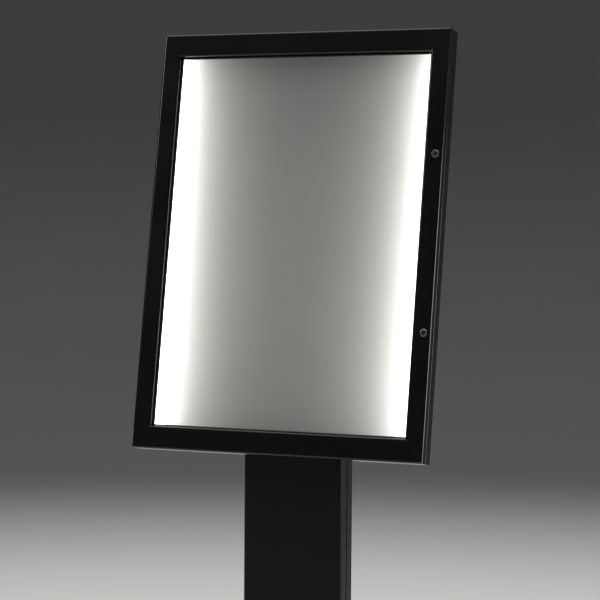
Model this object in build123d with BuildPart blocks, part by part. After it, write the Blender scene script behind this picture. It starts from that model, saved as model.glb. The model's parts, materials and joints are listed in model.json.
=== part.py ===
from build123d import *
import os
from math import cos, radians, sin

os.makedirs("parts", exist_ok=True)

# Free-standing lit menu case. Millimetres, +Z up, the window faces -Y, and the
# origin is the middle of the base plate's underside.

# Base plate
base_width = 500.0
base_length = 400.0
base_thickness = 8.0
base_corner = 20.0
base_chamfer = 1.0
anchor_spacing_x = 430.0
anchor_spacing_y = 330.0
anchor_hole_radius = 5.5
foot_thickness = 10.0
foot_bolt_radius = 4.0
foot_bolt_spacing_x = 110.0
foot_bolt_spacing_y = 20.0
foot_bolt_recess = 0.2

# Post: a folded front channel and a lighter rear cover that tucks inside it
post_width = 165.0
post_depth = 50.0
post_rise = 200.0
channel_wall = 3.0
channel_round = 6.0
cover_wall = 1.5
cover_round = 3.0
seam_width = 3.0
lip_reach = 12.0
cover_screw_radius = 2.0
cover_screw_margin = 100.0
cover_screws_per_side = 3
cap_thickness = 2.5
cap_plug_depth = 8.0
cap_plug_wall = 2.0

# Case and door, seen square on
case_width = 480.0
case_height = 662.0
face_height = 1320.0
face_tilt = 10.0
face_setback = 21.0
case_depth = 21.5
profile_wall = 1.5
strike_width = 5.5
strike_thickness = 2.0
profile_round = 1.0
rear_flange = 12.0
case_key_leg = 25.0
case_key_thickness = 2.0
case_key_height = 8.6
seal_margin = 0.6
back_sheet_thickness = 3.0
liner_thickness = 0.8
door_gap = 1.5
door_depth = 14.0
stile_width = 29.0
rail_width = 36.0
glazing_lip = 10.0
front_round = 3.0
door_key_leg = 50.0
pane_thickness = 3.0
pane_gap = 0.5
gasket_thickness = 1.0
bead_thickness = 1.2
bead_overlap = 7.0
bead_screw_radius = 1.2
bead_screw_head = 2.3
bead_screw_head_height = 0.9
bead_screws_per_side = 4

# Light strips in the two side corners
led_width = 15.2
led_wall = 1.2
led_end_gap = 35.0
led_cap_thickness = 1.5
diffuser_thickness = 1.5
board_thickness = 0.8
board_width = 5.0
chip_length = 3.5
chip_width = 2.8
chip_height = 0.7
chip_pitch = 24.5
led_lead_radius = 1.75
led_lead_bend = 10.0
led_lead_lift = 3.2
led_lead_inset = 6.0
splitter_width = 26.0
splitter_height = 8.0
splitter_margin = 7.0
splitter_round = 3.0
splitter_edge_round = 1.0

# Continuous hinge on the left
hinge_end_gap = 31.0
hinge_knuckles = 20
hinge_leaf = 1.0
leaf_margin = 3.5
knuckle_radius = 3.0
knuckle_notch = 0.5
pin_radius = 1.5
rivet_radius = 1.5
rivet_head = 2.8
rivet_head_height = 1.0
rivet_head_round = 0.7
rivets_per_leaf = 6

# Two quarter-turn locks on the right
lock_height = 136.0
barrel_radius = 4.5
barrel_flange_radius = 5.7
barrel_flange_height = 1.2
barrel_flange_round = 0.5
spindle_head_radius = 3.2
spindle_head_depth = 2.1
spindle_recess = 0.4
spindle_radius = 2.4
spindle_square = 3.4
socket_radius = 2.4
socket_depth = 1.6
socket_pin_radius = 0.75
nut_flats = 11.0
nut_lift = 0.2
cam_gap = 1.2
cam_thickness = 1.5
cam_half_width = 4.0
cam_tip_gap = 1.0
cam_screw_radius = 1.0
cam_screw_head = 2.3
cam_screw_head_height = 1.4
cam_screw_length = 4.5

# Bracket that leans the case back on the post
bracket_plate = 4.0
bracket_width = 220.0
bracket_cheek_span = 128.0
bracket_top_drop = 150.0
bracket_edge_gap = 1.0
bracket_corner = 8.0
bracket_screw_radius = 3.0
bracket_screw_head = 5.0
bracket_screw_head_height = 3.4
bracket_screw_margin = 15.0
stud_radius = 4.0
stud_margin = 30.0
stud_spacing = 90.0
stud_nut_flats = 13.0
stud_nut_height = 6.5
stud_proud = 2.5

# Driver and leads
driver_width = 40.0
driver_depth = 30.0
driver_length = 150.0
driver_base = 560.0
driver_round = 2.0
ear_length = 14.0
ear_thickness = 3.0
ear_inset = 4.0
ear_corner = 4.0
driver_stud_radius = 2.0
driver_stud_length = 10.0
driver_nut_flats = 7.0
driver_nut_height = 3.2
lead_radius = 2.5
lead_bend = 18.0
lead_hole_radius = 7.5
lead_below_window = 9.0
lead_y = 2.0
grommet_flange_radius = 9.5
grommet_flange_thickness = 1.8
grommet_clear = 1.0
gland_height = 80.0
gland_radius = 8.0
gland_thread = 9.0
gland_flats = 22.0
gland_hex_height = 6.0
gland_dome_radius = 9.5
gland_dome_length = 12.0
gland_dome_round = 3.0
gland_bore = 4.0
locknut_height = 4.0

# Clearances
running_gap = 0.3
slip_gap = 0.1
seat_gap = 0.3

# Planes and positions that follow from the sizes
lean = radians(face_tilt)
half_w = case_width / 2
half_h = case_height / 2
door_front = door_gap + door_depth
post_front = -post_depth / 2
face_y = post_front - face_setback + door_front * cos(lean)
face = Plane(origin=(0, face_y, face_height), x_dir=(1, 0, 0), z_dir=(0, -cos(lean), sin(lean)))
stile_box = stile_width - glazing_lip
rail_box = rail_width - glazing_lip
lip_under = door_gap + pane_thickness + gasket_thickness
sheet_back = profile_wall - case_depth
sheet_front = sheet_back + back_sheet_thickness
liner_front = sheet_front + liner_thickness
case_foot = face.from_local_coords((0, -half_h, 0)).Z
post_top = case_foot + post_rise
lip_outer = post_width / 2 - channel_wall - running_gap
lip_inner = lip_outer - cover_wall
pane_w = case_width - 2 * (stile_box + pane_gap)
pane_h = case_height - 2 * (rail_box + pane_gap)
lock_inset = strike_width + nut_flats / 2
lock_u = half_w - lock_inset
lock_points = [(lock_u, lock_height), (lock_u, -lock_height)]
cam_front = -strike_thickness - cam_gap
cam_back = cam_front - cam_thickness
cam_reach = lock_inset - profile_wall - cam_tip_gap
lead_v = -half_h + rail_width - lead_below_window

CORNERS = {
    "left": ((-1, -1), (-1, 1)),
    "right": ((1, 1), (1, -1)),
    "bottom": ((1, -1), (-1, -1)),
    "top": ((-1, 1), (1, 1)),
}


def save(builder, name):
    builder.part.label = name
    export_step(builder.part, f"parts/{name}.step")


# A plane across one edge of the case: x runs inward from the outer face, y out through the window.
def edge_plane(side):
    (ax, ay), (bx, by) = CORNERS[side]
    mid_x = (ax + bx) / 2
    mid_y = (ay + by) / 2
    inward = face.x_dir * -mid_x + face.y_dir * -mid_y
    origin = face.from_local_coords((mid_x * half_w, mid_y * half_h, 0))
    return Plane(origin=origin, x_dir=inward, z_dir=inward.cross(face.z_dir))


# Outline that trims one edge member to its two mitres.
def mitre_outline(side, inset_x, inset_y):
    (ax, ay), (bx, by) = CORNERS[side]
    return [
        (ax * half_w, ay * half_h),
        (bx * half_w, by * half_h),
        (bx * (half_w - inset_x), by * (half_h - inset_y)),
        (ax * (half_w - inset_x), ay * (half_h - inset_y)),
    ]


# Points along one side of the glazing beads where their screws go.
def bead_screw_points(side):
    along_x = half_w - stile_box + bead_overlap / 2
    along_y = half_h - rail_box + bead_overlap / 2
    steps = [(n + 0.5) / bead_screws_per_side - 0.5 for n in range(bead_screws_per_side)]
    sign = -1 if side in ("left", "bottom") else 1
    if side in ("left", "right"):
        return [(sign * along_x, step * pane_h) for step in steps]
    return [(step * pane_w, sign * along_y) for step in steps]


# A group of equal screws with hexagon sockets, whose round heads stand on their places.
def screw_group(places, head_radius, head_height, shank_radius, length):
    with BuildPart() as screws:
        with Locations(*places):
            Cylinder(shank_radius, length, align=(Align.CENTER, Align.CENTER, Align.MAX))
            Cylinder(head_radius, head_height, align=(Align.CENTER, Align.CENTER, Align.MIN))
        with BuildSketch(*[Plane(place).offset(head_height) for place in places]):
            RegularPolygon(0.75 * shank_radius, 6)
        extrude(amount=-0.6 * head_height, mode=Mode.SUBTRACT)
    return screws


# A group of equal countersunk screws, twice as wide at the head as at the shank and flush with their places.
def sunk_screw_group(places, shank_radius, length):
    with BuildPart() as screws:
        with Locations(*places):
            Cylinder(shank_radius, length, align=(Align.CENTER, Align.CENTER, Align.MAX))
            Cone(shank_radius, 2 * shank_radius, shank_radius, align=(Align.CENTER, Align.CENTER, Align.MAX))
        with BuildSketch(*[Plane(place) for place in places]):
            RegularPolygon(0.75 * shank_radius, 6)
        extrude(amount=-0.6 * shank_radius, mode=Mode.SUBTRACT)
    return screws


# A group of equal hexagon nuts standing on their places.
def nut_group(places, flats, height, bore):
    with BuildPart() as nuts:
        with BuildSketch(*[Plane(place) for place in places]):
            RegularPolygon(flats / 2, 6, major_radius=False)
            Circle(bore, mode=Mode.SUBTRACT)
        extrude(amount=height)
    return nuts


# Base plate with four ground anchor holes and countersinks for the foot bolts
foot_places = [
    Plane(origin=(sx * foot_bolt_spacing_x / 2, sy * foot_bolt_spacing_y / 2, 0), z_dir=(0, 0, -1))
    for sx in (-1, 1)
    for sy in (-1, 1)
]
with BuildPart() as base_plate:
    with BuildSketch():
        RectangleRounded(base_width, base_length, base_corner)
    extrude(amount=base_thickness)
    chamfer(base_plate.faces().sort_by(Axis.Z)[-1].outer_wire().edges(), base_chamfer)
    with BuildSketch():
        with GridLocations(anchor_spacing_x, anchor_spacing_y, 2, 2):
            Circle(anchor_hole_radius)
    extrude(amount=base_thickness, mode=Mode.SUBTRACT)
    with Locations(*foot_places):
        CounterSinkHole(foot_bolt_radius + seat_gap, 2 * foot_bolt_radius + seat_gap,
                        depth=base_thickness, counter_sink_angle=90)
save(base_plate, "base_plate")

# Foot plate welded inside the channel
with BuildPart() as post_foot_plate:
    with BuildSketch(Plane.XY.offset(base_thickness)):
        with Locations((0, post_front + channel_wall)):
            Rectangle(2 * (lip_inner - running_gap), post_depth - channel_wall - cover_wall - running_gap,
                      align=(Align.CENTER, Align.MIN))
        fillet(vertices().group_by(Axis.Y)[0], channel_round - channel_wall)
        with GridLocations(foot_bolt_spacing_x, foot_bolt_spacing_y, 2, 2):
            Circle(foot_bolt_radius + slip_gap, mode=Mode.SUBTRACT)
    extrude(amount=foot_thickness)
save(post_foot_plate, "post_foot_plate")

# Foot bolts, set just inside the underside of the base plate
foot_bolts = sunk_screw_group([place.offset(-foot_bolt_recess).location for place in foot_places],
                              foot_bolt_radius, base_thickness + foot_thickness - foot_bolt_recess)
save(foot_bolts, "foot_bolts")

# Post channel: the structural front of the post
cover_screw_y = -seam_width / 2 - lip_reach / 2
cover_screw_step = (post_top - base_thickness - 2 * cover_screw_margin) / (cover_screws_per_side - 1)
cover_screw_heights = [
    base_thickness + cover_screw_margin + n * cover_screw_step for n in range(cover_screws_per_side)
]
cover_screw_places = [
    Plane(origin=(sign * post_width / 2, cover_screw_y, height), z_dir=(sign, 0, 0)).location
    for sign in (-1, 1)
    for height in cover_screw_heights
]
bracket_low = -half_h + rear_flange + bracket_edge_gap
bracket_high = -bracket_top_drop
bracket_foot = face.from_local_coords((0, bracket_low, sheet_back))
bracket_head = face.from_local_coords((0, bracket_high, sheet_back))
stud_points = [
    (sign * stud_spacing / 2, height)
    for sign in (-1, 1)
    for height in (bracket_foot.Z + stud_margin, bracket_head.Z - stud_margin)
]
driver_stud_heights = (driver_base - ear_length / 2, driver_base + driver_length + ear_length / 2)
channel_reach = post_depth / 2 - seam_width / 2
with BuildPart() as post_channel:
    with BuildSketch(Plane.XY.offset(base_thickness)):
        with Locations((0, post_front)):
            Rectangle(post_width, channel_reach, align=(Align.CENTER, Align.MIN))
        fillet(vertices().group_by(Axis.Y)[0], channel_round)
        with BuildSketch(mode=Mode.SUBTRACT):
            with Locations((0, post_front + channel_wall)):
                Rectangle(post_width - 2 * channel_wall, channel_reach, align=(Align.CENTER, Align.MIN))
            fillet(vertices().group_by(Axis.Y)[0], channel_round - channel_wall)
    extrude(amount=post_top - base_thickness)
    # bracket stud holes and the way through for the lead
    with BuildSketch(Plane.XZ.offset(-post_front - channel_wall)):
        with Locations(*stud_points):
            Circle(stud_radius + seat_gap)
    extrude(amount=2 * channel_wall, mode=Mode.SUBTRACT)
    with BuildSketch(face.offset(sheet_back)):
        with Locations((0, lead_v)):
            Circle(lead_hole_radius)
    extrude(amount=-2 * post_depth, mode=Mode.SUBTRACT)
    # welded studs that hold the driver
    with BuildSketch(Plane.XZ.offset(-post_front - channel_wall)):
        with Locations(*[(0, height) for height in driver_stud_heights]):
            Circle(driver_stud_radius)
    extrude(amount=-driver_stud_length)
    with Locations(*cover_screw_places):
        CounterSinkHole(cover_screw_radius + slip_gap, 2 * cover_screw_radius + 2 * slip_gap,
                        depth=channel_wall, counter_sink_angle=90)
save(post_channel, "post_channel")

# Rear cover of the post: its joggled lips slide inside the channel
lip_mid = lip_outer - cover_wall / 2
with BuildPart() as post_rear_cover:
    with BuildSketch(Plane.XY.offset(base_thickness)):
        with Locations((0, seam_width / 2)):
            Rectangle(post_width, channel_reach, align=(Align.CENTER, Align.MIN))
        fillet(vertices().group_by(Axis.Y)[-1], cover_round)
        with Locations((0, seam_width / 2 + cover_wall)):
            Rectangle(post_width - 2 * cover_wall, channel_reach - 2 * cover_wall,
                      align=(Align.CENTER, Align.MIN), mode=Mode.SUBTRACT)
        with Locations((0, seam_width / 2)):
            Rectangle(2 * lip_inner, cover_wall, align=(Align.CENTER, Align.MIN), mode=Mode.SUBTRACT)
        with Locations((-lip_mid, seam_width / 2), (lip_mid, seam_width / 2)):
            Rectangle(cover_wall, seam_width + lip_reach, align=(Align.CENTER, Align.MAX))
    extrude(amount=post_top - base_thickness)
    with BuildSketch(Plane.XZ.offset(-post_depth / 2)):
        with Locations((0, gland_height)):
            Circle(gland_radius + slip_gap)
    extrude(amount=2 * cover_wall, mode=Mode.SUBTRACT)
    for sign in (-1, 1):
        with BuildSketch(Plane.YZ.offset(sign * lip_mid)):
            with Locations(*[(cover_screw_y, height) for height in cover_screw_heights]):
                Circle(cover_screw_radius + slip_gap)
        extrude(amount=cover_wall, both=True, mode=Mode.SUBTRACT)
save(post_rear_cover, "post_rear_cover")

cover_screws = sunk_screw_group(cover_screw_places, cover_screw_radius,
                                channel_wall + running_gap + cover_wall)
save(cover_screws, "cover_screws")

# Cap that closes the top of the post
with BuildPart() as post_cap:
    with BuildSketch(Plane.XY.offset(post_top)):
        Rectangle(post_width, post_depth)
        fillet(vertices().group_by(Axis.Y)[0], channel_round)
        fillet(vertices().group_by(Axis.Y)[-1], cover_round)
    extrude(amount=cap_thickness)
    with BuildSketch(Plane.XY.offset(post_top)):
        with Locations((0, post_front + channel_wall + running_gap)):
            Rectangle(2 * (lip_inner - running_gap), post_depth - channel_wall - cover_wall - 2 * running_gap,
                      align=(Align.CENTER, Align.MIN))
        fillet(vertices(), channel_round - channel_wall)
        offset(amount=-cap_plug_wall, mode=Mode.SUBTRACT)
    extrude(amount=-cap_plug_depth)
save(post_cap, "post_cap")

# Welded bracket: upright plate on the post, leaning plate on the case back, two cheeks between
bracket_screw_points = [
    (sign * (bracket_width / 2 - bracket_screw_margin), v)
    for sign in (-1, 1)
    for v in (bracket_low + bracket_screw_margin, bracket_high - bracket_screw_margin)
]
with BuildPart() as tilt_bracket:
    for sign in (-1, 1):
        with BuildSketch(Plane.YZ.offset(sign * bracket_cheek_span / 2)):
            Polygon((post_front, bracket_foot.Z), (post_front, bracket_head.Z),
                    (bracket_head.Y, bracket_head.Z), (bracket_foot.Y, bracket_foot.Z))
        extrude(amount=-sign * bracket_plate)
    with BuildSketch(Plane.XZ.offset(-post_front)):
        with Locations((0, bracket_foot.Z)):
            Rectangle(bracket_cheek_span, bracket_head.Z - bracket_foot.Z, align=(Align.CENTER, Align.MIN))
    extrude(amount=bracket_plate)
    with BuildSketch(face.offset(sheet_back)):
        with Locations((0, (bracket_low + bracket_high) / 2)):
            RectangleRounded(bracket_width, bracket_high - bracket_low, bracket_corner)
        with Locations(*bracket_screw_points):
            Circle(bracket_screw_radius + seat_gap, mode=Mode.SUBTRACT)
    extrude(amount=-bracket_plate)
    with BuildSketch(Plane.XZ.offset(-post_front)):
        with Locations(*stud_points):
            Circle(stud_radius)
    extrude(amount=-channel_wall - stud_nut_height - stud_proud)
    with BuildSketch(face.offset(sheet_back)):
        with Locations((0, lead_v)):
            Circle(grommet_flange_radius + grommet_clear)
    extrude(amount=-2 * bracket_plate, mode=Mode.SUBTRACT)
    with BuildSketch(face.offset(sheet_back)):
        with Locations((0, lead_v)):
            Circle(lead_hole_radius)
    extrude(amount=-post_depth, mode=Mode.SUBTRACT)
save(tilt_bracket, "tilt_bracket")

bracket_nuts = nut_group(
    [Plane(origin=(x, post_front + channel_wall, z), z_dir=(0, 1, 0)).location for x, z in stud_points],
    stud_nut_flats, stud_nut_height, stud_radius + slip_gap)
save(bracket_nuts, "bracket_nuts")

bracket_screws = screw_group(
    [Plane(origin=face.from_local_coords((u, v, sheet_back - bracket_plate)), z_dir=-face.z_dir).location
     for u, v in bracket_screw_points],
    bracket_screw_head, bracket_screw_head_height, bracket_screw_radius,
    bracket_plate + back_sheet_thickness)
save(bracket_screws, "bracket_screws")


# Case frame: one extruded profile mitred into four members
def case_profile(side):
    with BuildPart() as profile:
        with BuildSketch(edge_plane(side)):
            Polygon((0, 0), (strike_width, 0), (strike_width, -strike_thickness),
                    (profile_wall, -strike_thickness), (profile_wall, sheet_back),
                    (rear_flange, sheet_back), (rear_flange, -case_depth), (0, -case_depth))
            fillet(vertices().group_by(Axis.X)[0], profile_round)
        extrude(amount=half_h, both=True)
        with BuildSketch(face):
            Polygon(*mitre_outline(side, rear_flange, rear_flange))
        extrude(amount=2 * case_depth, both=True, mode=Mode.INTERSECT)
        if side == "left":
            with BuildSketch(*case_rivet_places):
                Circle(rivet_radius + slip_gap)
            extrude(amount=-profile_wall, mode=Mode.SUBTRACT)
    return profile


# Rivet places on the outer left faces, for the leaf on the door and the leaf on the case
def rivet_places(w):
    steps = [(n + 0.5) / rivets_per_leaf - 0.5 for n in range(rivets_per_leaf)]
    return [
        Plane(origin=face.from_local_coords((-half_w, step * hinge_length, w)),
              x_dir=face.y_dir, z_dir=-face.x_dir)
        for step in steps
    ]


hinge_length = case_height - 2 * hinge_end_gap
case_rivet_places = rivet_places(-case_depth / 2)
door_rivet_places = rivet_places(door_gap + door_depth / 2)
for side in CORNERS:
    save(case_profile(side), f"case_profile_{side}")

# Corner keys pressed into the four corners of the case frame
with BuildPart() as case_corner_keys:
    with BuildSketch(face.offset((liner_front - strike_thickness - case_key_height) / 2)):
        for sx in (-1, 1):
            for sy in (-1, 1):
                x0 = sx * (half_w - profile_wall)
                y0 = sy * (half_h - profile_wall)
                x1 = x0 - sx * case_key_thickness
                y1 = y0 - sy * case_key_thickness
                x2 = x0 - sx * case_key_leg
                y2 = y0 - sy * case_key_leg
                Polygon((x0, y0), (x2, y0), (x2, y1), (x1, y1), (x1, y2), (x0, y2))
    extrude(amount=case_key_height)
save(case_corner_keys, "case_corner_keys")

# Back sheet and the grey magnetic liner in front of it
inner_w = case_width - 2 * (profile_wall + seat_gap)
inner_h = case_height - 2 * (profile_wall + seat_gap)
with BuildPart() as case_back_sheet:
    with BuildSketch(face.offset(sheet_back)):
        Rectangle(inner_w, inner_h)
        with Locations(*bracket_screw_points):
            Circle(bracket_screw_radius + slip_gap, mode=Mode.SUBTRACT)
        with Locations((0, lead_v)):
            Circle(lead_hole_radius, mode=Mode.SUBTRACT)
    extrude(amount=back_sheet_thickness)
save(case_back_sheet, "case_back_sheet")

with BuildPart() as magnetic_liner:
    with BuildSketch(face.offset(sheet_front)):
        Rectangle(inner_w, inner_h)
        with Locations((0, lead_v)):
            Circle(lead_radius + seat_gap, mode=Mode.SUBTRACT)
    extrude(amount=liner_thickness)
save(magnetic_liner, "magnetic_liner")

# Weather seal on the front of the case frame
with BuildPart() as case_seal:
    with BuildSketch(face):
        Rectangle(case_width - 2 * seal_margin, case_height - 2 * seal_margin)
        offset(amount=2 * seal_margin - strike_width, kind=Kind.INTERSECTION, mode=Mode.SUBTRACT)
    extrude(amount=door_gap - seat_gap)
save(case_seal, "case_seal")


# Light strips: an aluminium corner channel, a board with chips on its upright, an opal cover across
led_half = half_h - led_end_gap
led_inner = profile_wall + led_wall
led_floor = liner_front + led_wall
led_tip = profile_wall + led_width
led_top = cam_back - cam_screw_head_height - 2 * running_gap
led_slope = (led_top - led_floor) / (led_tip - led_inner)
cover_rise = diffuser_thickness * (1 + led_slope**2) ** 0.5
board_face = led_inner + board_thickness
board_mid = led_floor + slip_gap + board_width / 2
chip_count = int(2 * led_half / chip_pitch)


def led_extrusion(side, points):
    with BuildPart() as strip:
        with BuildSketch(edge_plane(side)):
            Polygon(*points)
        extrude(amount=led_half, both=True)
    return strip


for side in ("left", "right"):
    channel = led_extrusion(side, [
        (profile_wall, liner_front), (led_tip, liner_front), (led_tip, led_floor),
        (led_inner, led_floor), (led_inner, led_top), (profile_wall, led_top)])
    save(channel, f"{side}_led_channel")
    diffuser = led_extrusion(side, [
        (led_tip, led_floor), (led_inner, led_top), (led_inner, led_top - cover_rise),
        (led_tip - cover_rise / led_slope, led_floor)])
    save(diffuser, f"{side}_led_diffuser")
    board = led_extrusion(side, [
        (led_inner, led_floor + slip_gap), (board_face, led_floor + slip_gap),
        (board_face, led_floor + slip_gap + board_width), (led_inner, led_floor + slip_gap + board_width)])
    save(board, f"{side}_led_board")
    sign = -1 if side == "left" else 1
    chip_plane = Plane(origin=face.from_local_coords((sign * (half_w - board_face), 0, board_mid)),
                       x_dir=face.y_dir, z_dir=face.x_dir * -sign)
    with BuildPart() as chips:
        with BuildSketch(chip_plane):
            with GridLocations(chip_pitch, chip_pitch, chip_count, 1):
                Rectangle(chip_length, chip_width)
        extrude(amount=chip_height)
    save(chips, f"{side}_led_chips")

with BuildPart() as led_end_caps:
    for side in ("left", "right"):
        for end in (-1, 1):
            with BuildSketch(edge_plane(side).offset(end * led_half)):
                Polygon((profile_wall, liner_front), (led_tip, liner_front), (led_tip, led_floor),
                        (led_inner, led_top), (profile_wall, led_top))
            extrude(amount=end * led_cap_thickness)
save(led_end_caps, "led_end_caps")

# Splitter on the liner and the two leads from it to the light strips, behind the bottom rail
run_v = -half_h + rail_width / 2
run_w = liner_front + led_lead_lift
with BuildPart() as lead_splitter:
    with BuildSketch(face.offset(liner_front)):
        with Locations((0, (run_v + lead_v) / 2)):
            RectangleRounded(splitter_width, lead_v - run_v + 2 * splitter_margin, splitter_round)
    extrude(amount=splitter_height)
    fillet(lead_splitter.faces().sort_by(Axis.Y)[0].edges(), splitter_edge_round)
save(lead_splitter, "lead_splitter")

lead_u = half_w - led_lead_inset
for side, sign in (("left", -1), ("right", 1)):
    with BuildPart() as led_lead:
        with BuildLine(face.offset(run_w)) as run:
            FilletPolyline((sign * splitter_width / 2, run_v), (sign * lead_u, run_v),
                           (sign * lead_u, -led_half - led_cap_thickness), radius=led_lead_bend)
        with BuildSketch(Plane(origin=run.line @ 0, z_dir=run.line % 0)):
            Circle(led_lead_radius)
        sweep()
    save(led_lead, f"{side}_led_lead")

# Grommet in the back sheet, around the lead that comes up from the post
with BuildPart() as lead_grommet:
    with BuildSketch(face.offset(sheet_front)):
        with Locations((0, lead_v)):
            Circle(lead_hole_radius - slip_gap)
    extrude(amount=-back_sheet_thickness)
    with BuildSketch(face.offset(sheet_back)):
        with Locations((0, lead_v)):
            Circle(grommet_flange_radius)
    extrude(amount=-grommet_flange_thickness)
    with BuildSketch(face.offset(sheet_front)):
        with Locations((0, lead_v)):
            Circle(lead_radius + slip_gap)
    extrude(amount=-2 * back_sheet_thickness, mode=Mode.SUBTRACT)
save(lead_grommet, "lead_grommet")

driver_top = driver_base + driver_length
lead_start = face.from_local_coords((0, lead_v, liner_front))
lead_turn_z = lead_start.Z - (lead_y - lead_start.Y) * sin(lean) / cos(lean)
with BuildPart() as post_lead:
    with BuildLine(Plane.YZ) as route:
        FilletPolyline((lead_start.Y, lead_start.Z), (lead_y, lead_turn_z), (lead_y, driver_top),
                       radius=lead_bend)
    with BuildSketch(Plane(origin=route.line @ 0, z_dir=route.line % 0)):
        Circle(lead_radius)
    sweep()
save(post_lead, "post_lead")

# Driver on two welded studs inside the post
driver_front = post_front + channel_wall
with BuildPart() as led_driver:
    with BuildSketch(Plane.XY.offset(driver_base)):
        with Locations((0, driver_front)):
            Rectangle(driver_width, driver_depth, align=(Align.CENTER, Align.MIN))
    extrude(amount=driver_length)
    fillet(led_driver.edges().filter_by(Axis.Z), driver_round)
    with BuildSketch(Plane.XZ.offset(-driver_front)):
        with Locations((0, driver_base + driver_length / 2)):
            RectangleRounded(driver_width - 2 * ear_inset, driver_length + 2 * ear_length, ear_corner)
        with Locations(*[(0, height) for height in driver_stud_heights]):
            Circle(driver_stud_radius + seat_gap, mode=Mode.SUBTRACT)
    extrude(amount=-ear_thickness)
save(led_driver, "led_driver")

driver_nuts = nut_group(
    [Plane(origin=(0, driver_front + ear_thickness, height), z_dir=(0, 1, 0)).location
     for height in driver_stud_heights],
    driver_nut_flats, driver_nut_height, driver_stud_radius + slip_gap)
save(driver_nuts, "driver_nuts")

# Mains cable gland low on the rear cover
cover_back = post_depth / 2
with BuildPart() as cable_gland:
    with BuildSketch(Plane.XZ.offset(-cover_back)):
        with Locations((0, gland_height)):
            RegularPolygon(gland_flats / 2, 6, major_radius=False)
    extrude(amount=-gland_hex_height)
    with BuildSketch(Plane.XZ.offset(-cover_back - gland_hex_height)):
        with Locations((0, gland_height)):
            Circle(gland_dome_radius)
    extrude(amount=-gland_dome_length)
    fillet(cable_gland.faces().sort_by(Axis.Y)[-1].edges(), gland_dome_round)
    with BuildSketch(Plane.XZ.offset(-cover_back)):
        with Locations((0, gland_height)):
            Circle(gland_radius)
    extrude(amount=gland_thread)
    with BuildSketch(Plane.XZ.offset(gland_thread - cover_back)):
        with Locations((0, gland_height)):
            Circle(gland_bore)
    extrude(amount=-gland_thread - gland_hex_height - gland_dome_length, mode=Mode.SUBTRACT)
save(cable_gland, "cable_gland")

gland_locknut = nut_group(
    [Plane(origin=(0, cover_back - cover_wall, gland_height), z_dir=(0, -1, 0)).location],
    gland_flats, locknut_height, gland_radius + slip_gap)
save(gland_locknut, "gland_locknut")


# Door frame: hollow extrusions with rounded front edges, mitred at the corners
def door_member(side):
    width = stile_width if side in ("left", "right") else rail_width
    box = width - glazing_lip
    with BuildPart() as member:
        with BuildSketch(edge_plane(side)):
            Polygon((0, door_gap), (0, door_front), (width, door_front), (width, lip_under),
                    (box, lip_under), (box, door_gap))
            fillet(vertices().group_by(Axis.Y)[-1], front_round)
            with Locations((box / 2, (door_gap + door_front) / 2)):
                Rectangle(box - 2 * profile_wall, door_depth - 2 * profile_wall, mode=Mode.SUBTRACT)
        extrude(amount=half_h, both=True)
        with BuildSketch(face):
            Polygon(*mitre_outline(side, stile_width, rail_width))
        extrude(amount=2 * door_front, mode=Mode.INTERSECT)
        with BuildSketch(face.offset(door_gap)):
            with Locations(*bead_screw_points(side)):
                Circle(bead_screw_radius + slip_gap)
        extrude(amount=profile_wall, mode=Mode.SUBTRACT)
        if side == "left":
            with BuildSketch(*door_rivet_places):
                Circle(rivet_radius + slip_gap)
            extrude(amount=-profile_wall, mode=Mode.SUBTRACT)
        if side == "right":
            with BuildSketch(face.offset(door_front)):
                with Locations(*lock_points):
                    Circle(barrel_radius + slip_gap)
            extrude(amount=-door_depth, mode=Mode.SUBTRACT)
    return member


DOOR_NAMES = {
    "left": "door_hinge_stile",
    "right": "door_lock_stile",
    "bottom": "door_bottom_rail",
    "top": "door_top_rail",
}
for side, name in DOOR_NAMES.items():
    save(door_member(side), name)

# Corner keys inside the hollow door frame; the mitre limits how wide their rail legs can be
stile_key = stile_box - profile_wall - running_gap
rail_key = min(rail_box, stile_box * rail_width / stile_width) - profile_wall - 3 * running_gap
with BuildPart() as door_corner_keys:
    with BuildSketch(face.offset(door_gap + profile_wall + running_gap)):
        for sx in (-1, 1):
            for sy in (-1, 1):
                x0 = sx * (half_w - profile_wall - running_gap)
                y0 = sy * (half_h - profile_wall - running_gap)
                x1 = sx * (half_w - stile_key)
                y1 = sy * (half_h - rail_key)
                x2 = x0 - sx * door_key_leg
                y2 = y0 - sy * door_key_leg
                Polygon((x0, y0), (x2, y0), (x2, y1), (x1, y1), (x1, y2), (x0, y2))
    extrude(amount=door_depth - 2 * profile_wall - 2 * running_gap)
save(door_corner_keys, "door_corner_keys")

# Clear pane, the gasket it is pressed against, and the beads that hold it from behind
with BuildPart() as door_pane:
    with BuildSketch(face.offset(door_gap)):
        Rectangle(pane_w, pane_h)
    extrude(amount=pane_thickness)
save(door_pane, "door_pane")

with BuildPart() as pane_gasket:
    with BuildSketch(face.offset(door_gap + pane_thickness)):
        Rectangle(pane_w, pane_h)
        Rectangle(case_width - 2 * (stile_width - pane_gap), case_height - 2 * (rail_width - pane_gap),
                  mode=Mode.SUBTRACT)
    extrude(amount=gasket_thickness)
save(pane_gasket, "pane_gasket")

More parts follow.
